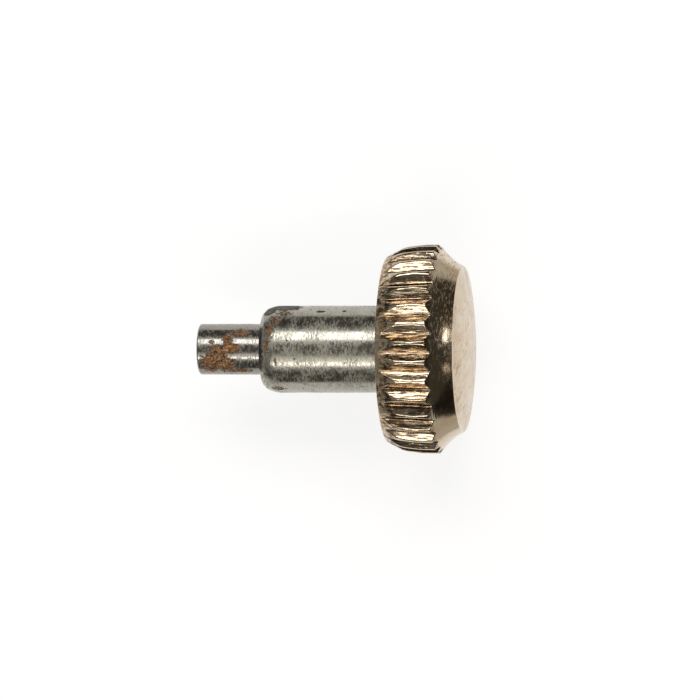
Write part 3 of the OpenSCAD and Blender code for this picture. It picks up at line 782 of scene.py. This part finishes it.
# the turn that each point is at, of which the first and the last are closed
t = add("ShaderNodeMath", {0: index, 1: given["Steps Per Turn"]}, operation="DIVIDE")
firstTurn = add("ShaderNodeMath", {0: t, 1: 1.0}, operation="MINIMUM")
past = add("ShaderNodeMath", {0: t, 1: 1.0}, operation="SUBTRACT")
past = add("ShaderNodeMath", {0: past, 1: 0.0}, operation="MAXIMUM")
openPart = add("ShaderNodeMath", {0: past, 1: given["Open Turns"]}, operation="MINIMUM")
lastTurn = add("ShaderNodeMath", {0: past, 1: openPart}, operation="SUBTRACT")
closedPart = add("ShaderNodeMath", {0: firstTurn, 1: lastTurn}, operation="ADD")
x = given["Start"]
for label, share in (("Wire", 0.5), ("Closed Pitch", closedPart), ("Open Pitch", openPart)):
    x = add("ShaderNodeMath", {0: given[label], 1: share, 2: x}, operation="MULTIPLY_ADD")
angle = add("ShaderNodeMath", {0: t, 1: 2 * math.pi}, operation="MULTIPLY")
swing = {}
for axis, wave in (("Y", "COSINE"), ("Z", "SINE")):
    share = add("ShaderNodeMath", {0: angle}, operation=wave)
    swing[axis] = add("ShaderNodeMath", {0: share, 1: given["Mean Radius"]}, operation="MULTIPLY")
where = add("ShaderNodeCombineXYZ", {"X": x, **swing})
bent = add("GeometryNodeSetPosition", {"Geometry": wirePoints, "Position": where})
path = add("GeometryNodeMeshToCurve", {"Mesh": bent})
wireRadius = add("ShaderNodeMath", {0: given["Wire"], 1: 0.5}, operation="MULTIPLY")
section = add("GeometryNodeCurvePrimitiveCircle", {"Resolution": 14, "Radius": wireRadius})
wire = add("GeometryNodeCurveToMesh", {"Curve": path, "Profile Curve": section, "Fill Caps": True})
endTree(add, given, wire)

coilSpring = grown("coilSpring", springTree, coilSizes, springSteel, 60)
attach(coilSpring, "crown")
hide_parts("spring")
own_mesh(coilSpring)
print("spring:", len(coilSpring.data.polygons), "faces")


# The gasket and the washer that keeps it in place.
gasket = {"start": 1.02, "end": 1.42, "inner": 1.08, "outer": 1.87, "innerFillet": 0.05, "outerFillet": 0.05}
washer = {"start": 0.86, "end": 0.98, "inner": 1.31, "outer": 1.94, "innerFillet": 0.02, "outerFillet": 0.02}

gasketRing = turnedPiece("gasketRing", ringOutline(**gasket), 96, nitrile, creaseAngle=50)
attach(gasketRing, "crown")
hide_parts("gasket")

gasketWasher = turnedPiece("gasketWasher", ringOutline(**washer), 96, rustedSteel)
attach(gasketWasher, "crown")
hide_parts("gasket_washer")
print("gasket and washer made")


# The stage: a pale floor, dark cards that only reflections show, soft boxes and the camera.
stage = {
    "floorZ": -3.004, "floorHalf": 1500.0, "floorGlow": 0.80, "floorColour": "#908F8D", "room": "#8A8A88",
    # lengths in mm; rises, the ring's half and the hood's low and high in degrees
    "cardColour": "#6A6760", "cardReach": 25.0, "cardFront": 12.5, "cardPull": (0.06, 0.20), "cardSteps": 72,
    "cardRise": 30.0, "cardFrontRise": 45.0, "cardRearRise": 20.0,
    "shadeColour": "#35332F", "shadeSteps": (60, 65),
    "ringInner": 6.0, "ringOuter": 14.0, "ringHalf": 75.0, "ringColour": "#D8D6D2",
    "hoodColour": "#E4E2DC", "hoodZ": 200.0, "hoodLow": -12.0, "hoodHigh": 25.0, "hoodHalf": 110.0,
}

floorMaterial = bpy.data.materials.new("paleFloor")
add = emptied(floorMaterial)
rays = add("ShaderNodeLightPath").outputs
seen = add("ShaderNodeMath", {0: rays["Is Camera Ray"], 1: rays["Is Glossy Ray"]}, operation="MAXIMUM")
seen = add("ShaderNodeMath", {0: seen, 1: rays["Is Transmission Ray"]}, operation="MAXIMUM")
glow = add("ShaderNodeMath", {0: seen, 1: stage["floorGlow"]}, operation="MULTIPLY")
paper = add("ShaderNodeBsdfDiffuse", {"Color": tint(stage["floorColour"])})
lit = add("ShaderNodeEmission", {"Color": (1, 1, 1, 1), "Strength": glow})
both = add("ShaderNodeAddShader", {0: paper, 1: lit})
add("ShaderNodeOutputMaterial", {"Surface": both})


def stagePiece(name, verts, faces, material):
    piece = linked(name, meshOf(name, verts, faces))
    piece.data.materials.append(material)
    return piece


def feltCard(name, verts, faces, code):
    felt = bpy.data.materials.new(name)
    add = emptied(felt)
    cloth = add("ShaderNodeBsdfDiffuse", {"Color": tint(code)})
    add("ShaderNodeOutputMaterial", {"Surface": cloth})
    card = stagePiece(name, verts, faces, felt)
    card.visible_camera = card.visible_shadow = card.visible_diffuse = False


h, low = stage["floorHalf"], stage["floorZ"]
stagePiece("floor", [(-h, -h, low), (h, -h, low), (h, h, low), (-h, h, low)], [(0, 1, 2, 3)], floorMaterial)

# a low card stands all round the crown, lower towards the pin and closer in front of the face, and a
# darker one takes its place below the cone
steps, (shadeStart, shadeEnd) = stage["cardSteps"], stage["shadeSteps"]
for name, first, last, code in (("darkCard", shadeEnd - steps, shadeStart, stage["cardColour"]),
                                ("shadeCard", shadeStart, shadeEnd, stage["shadeColour"])):
    verts, faces = [], []
    for i in range(first, last + 1):
        a = 2 * math.pi * i / steps
        far = stage["cardReach"] + (stage["cardFront"] - stage["cardReach"]) * max(0.0, math.cos(a)) ** 0.5
        if math.cos(a) > 0:
            far *= 1 - stage["cardPull"][math.sin(a) > 0] * abs(math.sin(2 * a)) ** 3
        rise = stage["cardRise"] if math.cos(a) > -0.5 else stage["cardRearRise"]
        rise += (stage["cardFrontRise"] - stage["cardRise"]) * max(0.0, math.cos(a))
        top = far * math.tan(math.radians(rise))
        verts += [(far * math.cos(a), far * math.sin(a), z) for z in (low, top)]
        n = len(verts)
        if n > 2:
            faces.append((n - 4, n - 2, n - 1, n - 3))
    feltCard(name, verts, faces, code)

# part of a ring of paper lies on the floor in front of the cone
verts, faces = [], []
for i in range(25):
    a = math.radians(stage["ringHalf"]) * (i / 12 - 1)
    verts += [(r * math.cos(a), r * math.sin(a), low + 0.1) for r in (stage["ringInner"], stage["ringOuter"])]
    if i:
        faces.append((2 * i - 2, 2 * i - 1, 2 * i + 1, 2 * i))
feltCard("paperRing", verts, faces, stage["ringColour"])

# a grey hood hangs over the camera, between the soft boxes
lowY, highY = (stage["hoodZ"] * math.tan(math.radians(stage[edge])) for edge in ("hoodLow", "hoodHigh"))
h, z = stage["hoodHalf"], stage["hoodZ"]
feltCard("greyHood", [(-h, lowY, z), (h, lowY, z), (h, highY, z), (-h, highY, z)], [(0, 1, 2, 3)],
         stage["hoodColour"])

world = bpy.data.worlds.new("room")
bpy.context.scene.world = world
add = emptied(world)
air = add("ShaderNodeBackground", {"Color": tint(stage["room"]), "Strength": 1.0})
add("ShaderNodeOutputWorld", {"Surface": air})


def overhead(degrees, distance):
    return 0.0, distance * math.sin(math.radians(degrees)), distance * math.cos(math.radians(degrees))


def turnedTo(place, right, up, back):
    return Matrix.Translation(place) @ Matrix((right, up, back)).transposed().to_4x4()


# Each soft box: (name, centre, along X, across, radiance, colour), in millimetres. All face the aim.
softBoxes = [
    ("upperBox", overhead(34.5, 300), 260.0, 124.0, 4.2, "#FFFFFF"),
    ("lowerBox", overhead(-32, 300), 260.0, 126.0, 1.1, "#FFFAF2"),
    ("lowerStrip", overhead(-40, 290), 260.0, 40.0, 4.2, "#FFFCF6"),
    ("frontStrip", (11.1, 3.0, 7.9), 1.5, 2.8, 4.2, "#FFFFFF"),
    ("frontSpot", (11.1, -4.3, 7.9), 1.2, 1.6, 1.6, "#FFF4E6"),
]
aim = Vector((1.0, 0.0, 1.2))
for name, centre, along, across, radiance, code in softBoxes:
    lamp = bpy.data.lights.new(name, "AREA")
    lamp.shape = "RECTANGLE"
    lamp.size, lamp.size_y = along * mm, across * mm
    lamp.color = tint(code)[:3]
    lamp.energy = radiance * math.pi * lamp.size * lamp.size_y
    holder = linked(name, lamp)
    out = (Vector(centre) - aim).normalized()
    side = Vector((0, 1, 0)).cross(out).normalized()
    holder.matrix_world = turnedTo(Vector(centre) * mm, side, out.cross(side), out)

shot = {"tilt": 8.9, "distance": 250.0, "lens": 447.97, "aim": (-1.1245, -0.023, 0.0)}
cameraData = bpy.data.cameras.new("camera")
cameraData.lens = shot["lens"]
cameraData.sensor_width = 36.0
cameraData.clip_start, cameraData.clip_end = 0.005, 20.0
camera = linked("camera", cameraData)
a = math.radians(shot["tilt"])
back = Vector((math.sin(a), 0, math.cos(a)))
right = Vector((math.cos(a), 0, -math.sin(a)))
place = Vector(shot["aim"]) * mm + back * shot["distance"] * mm
camera.matrix_world = turnedTo(place, right, Vector((0, 1, 0)), back)
bpy.context.scene.camera = camera
bpy.context.scene.view_settings.view_transform = "Standard"
print("stage, lamps and camera set")
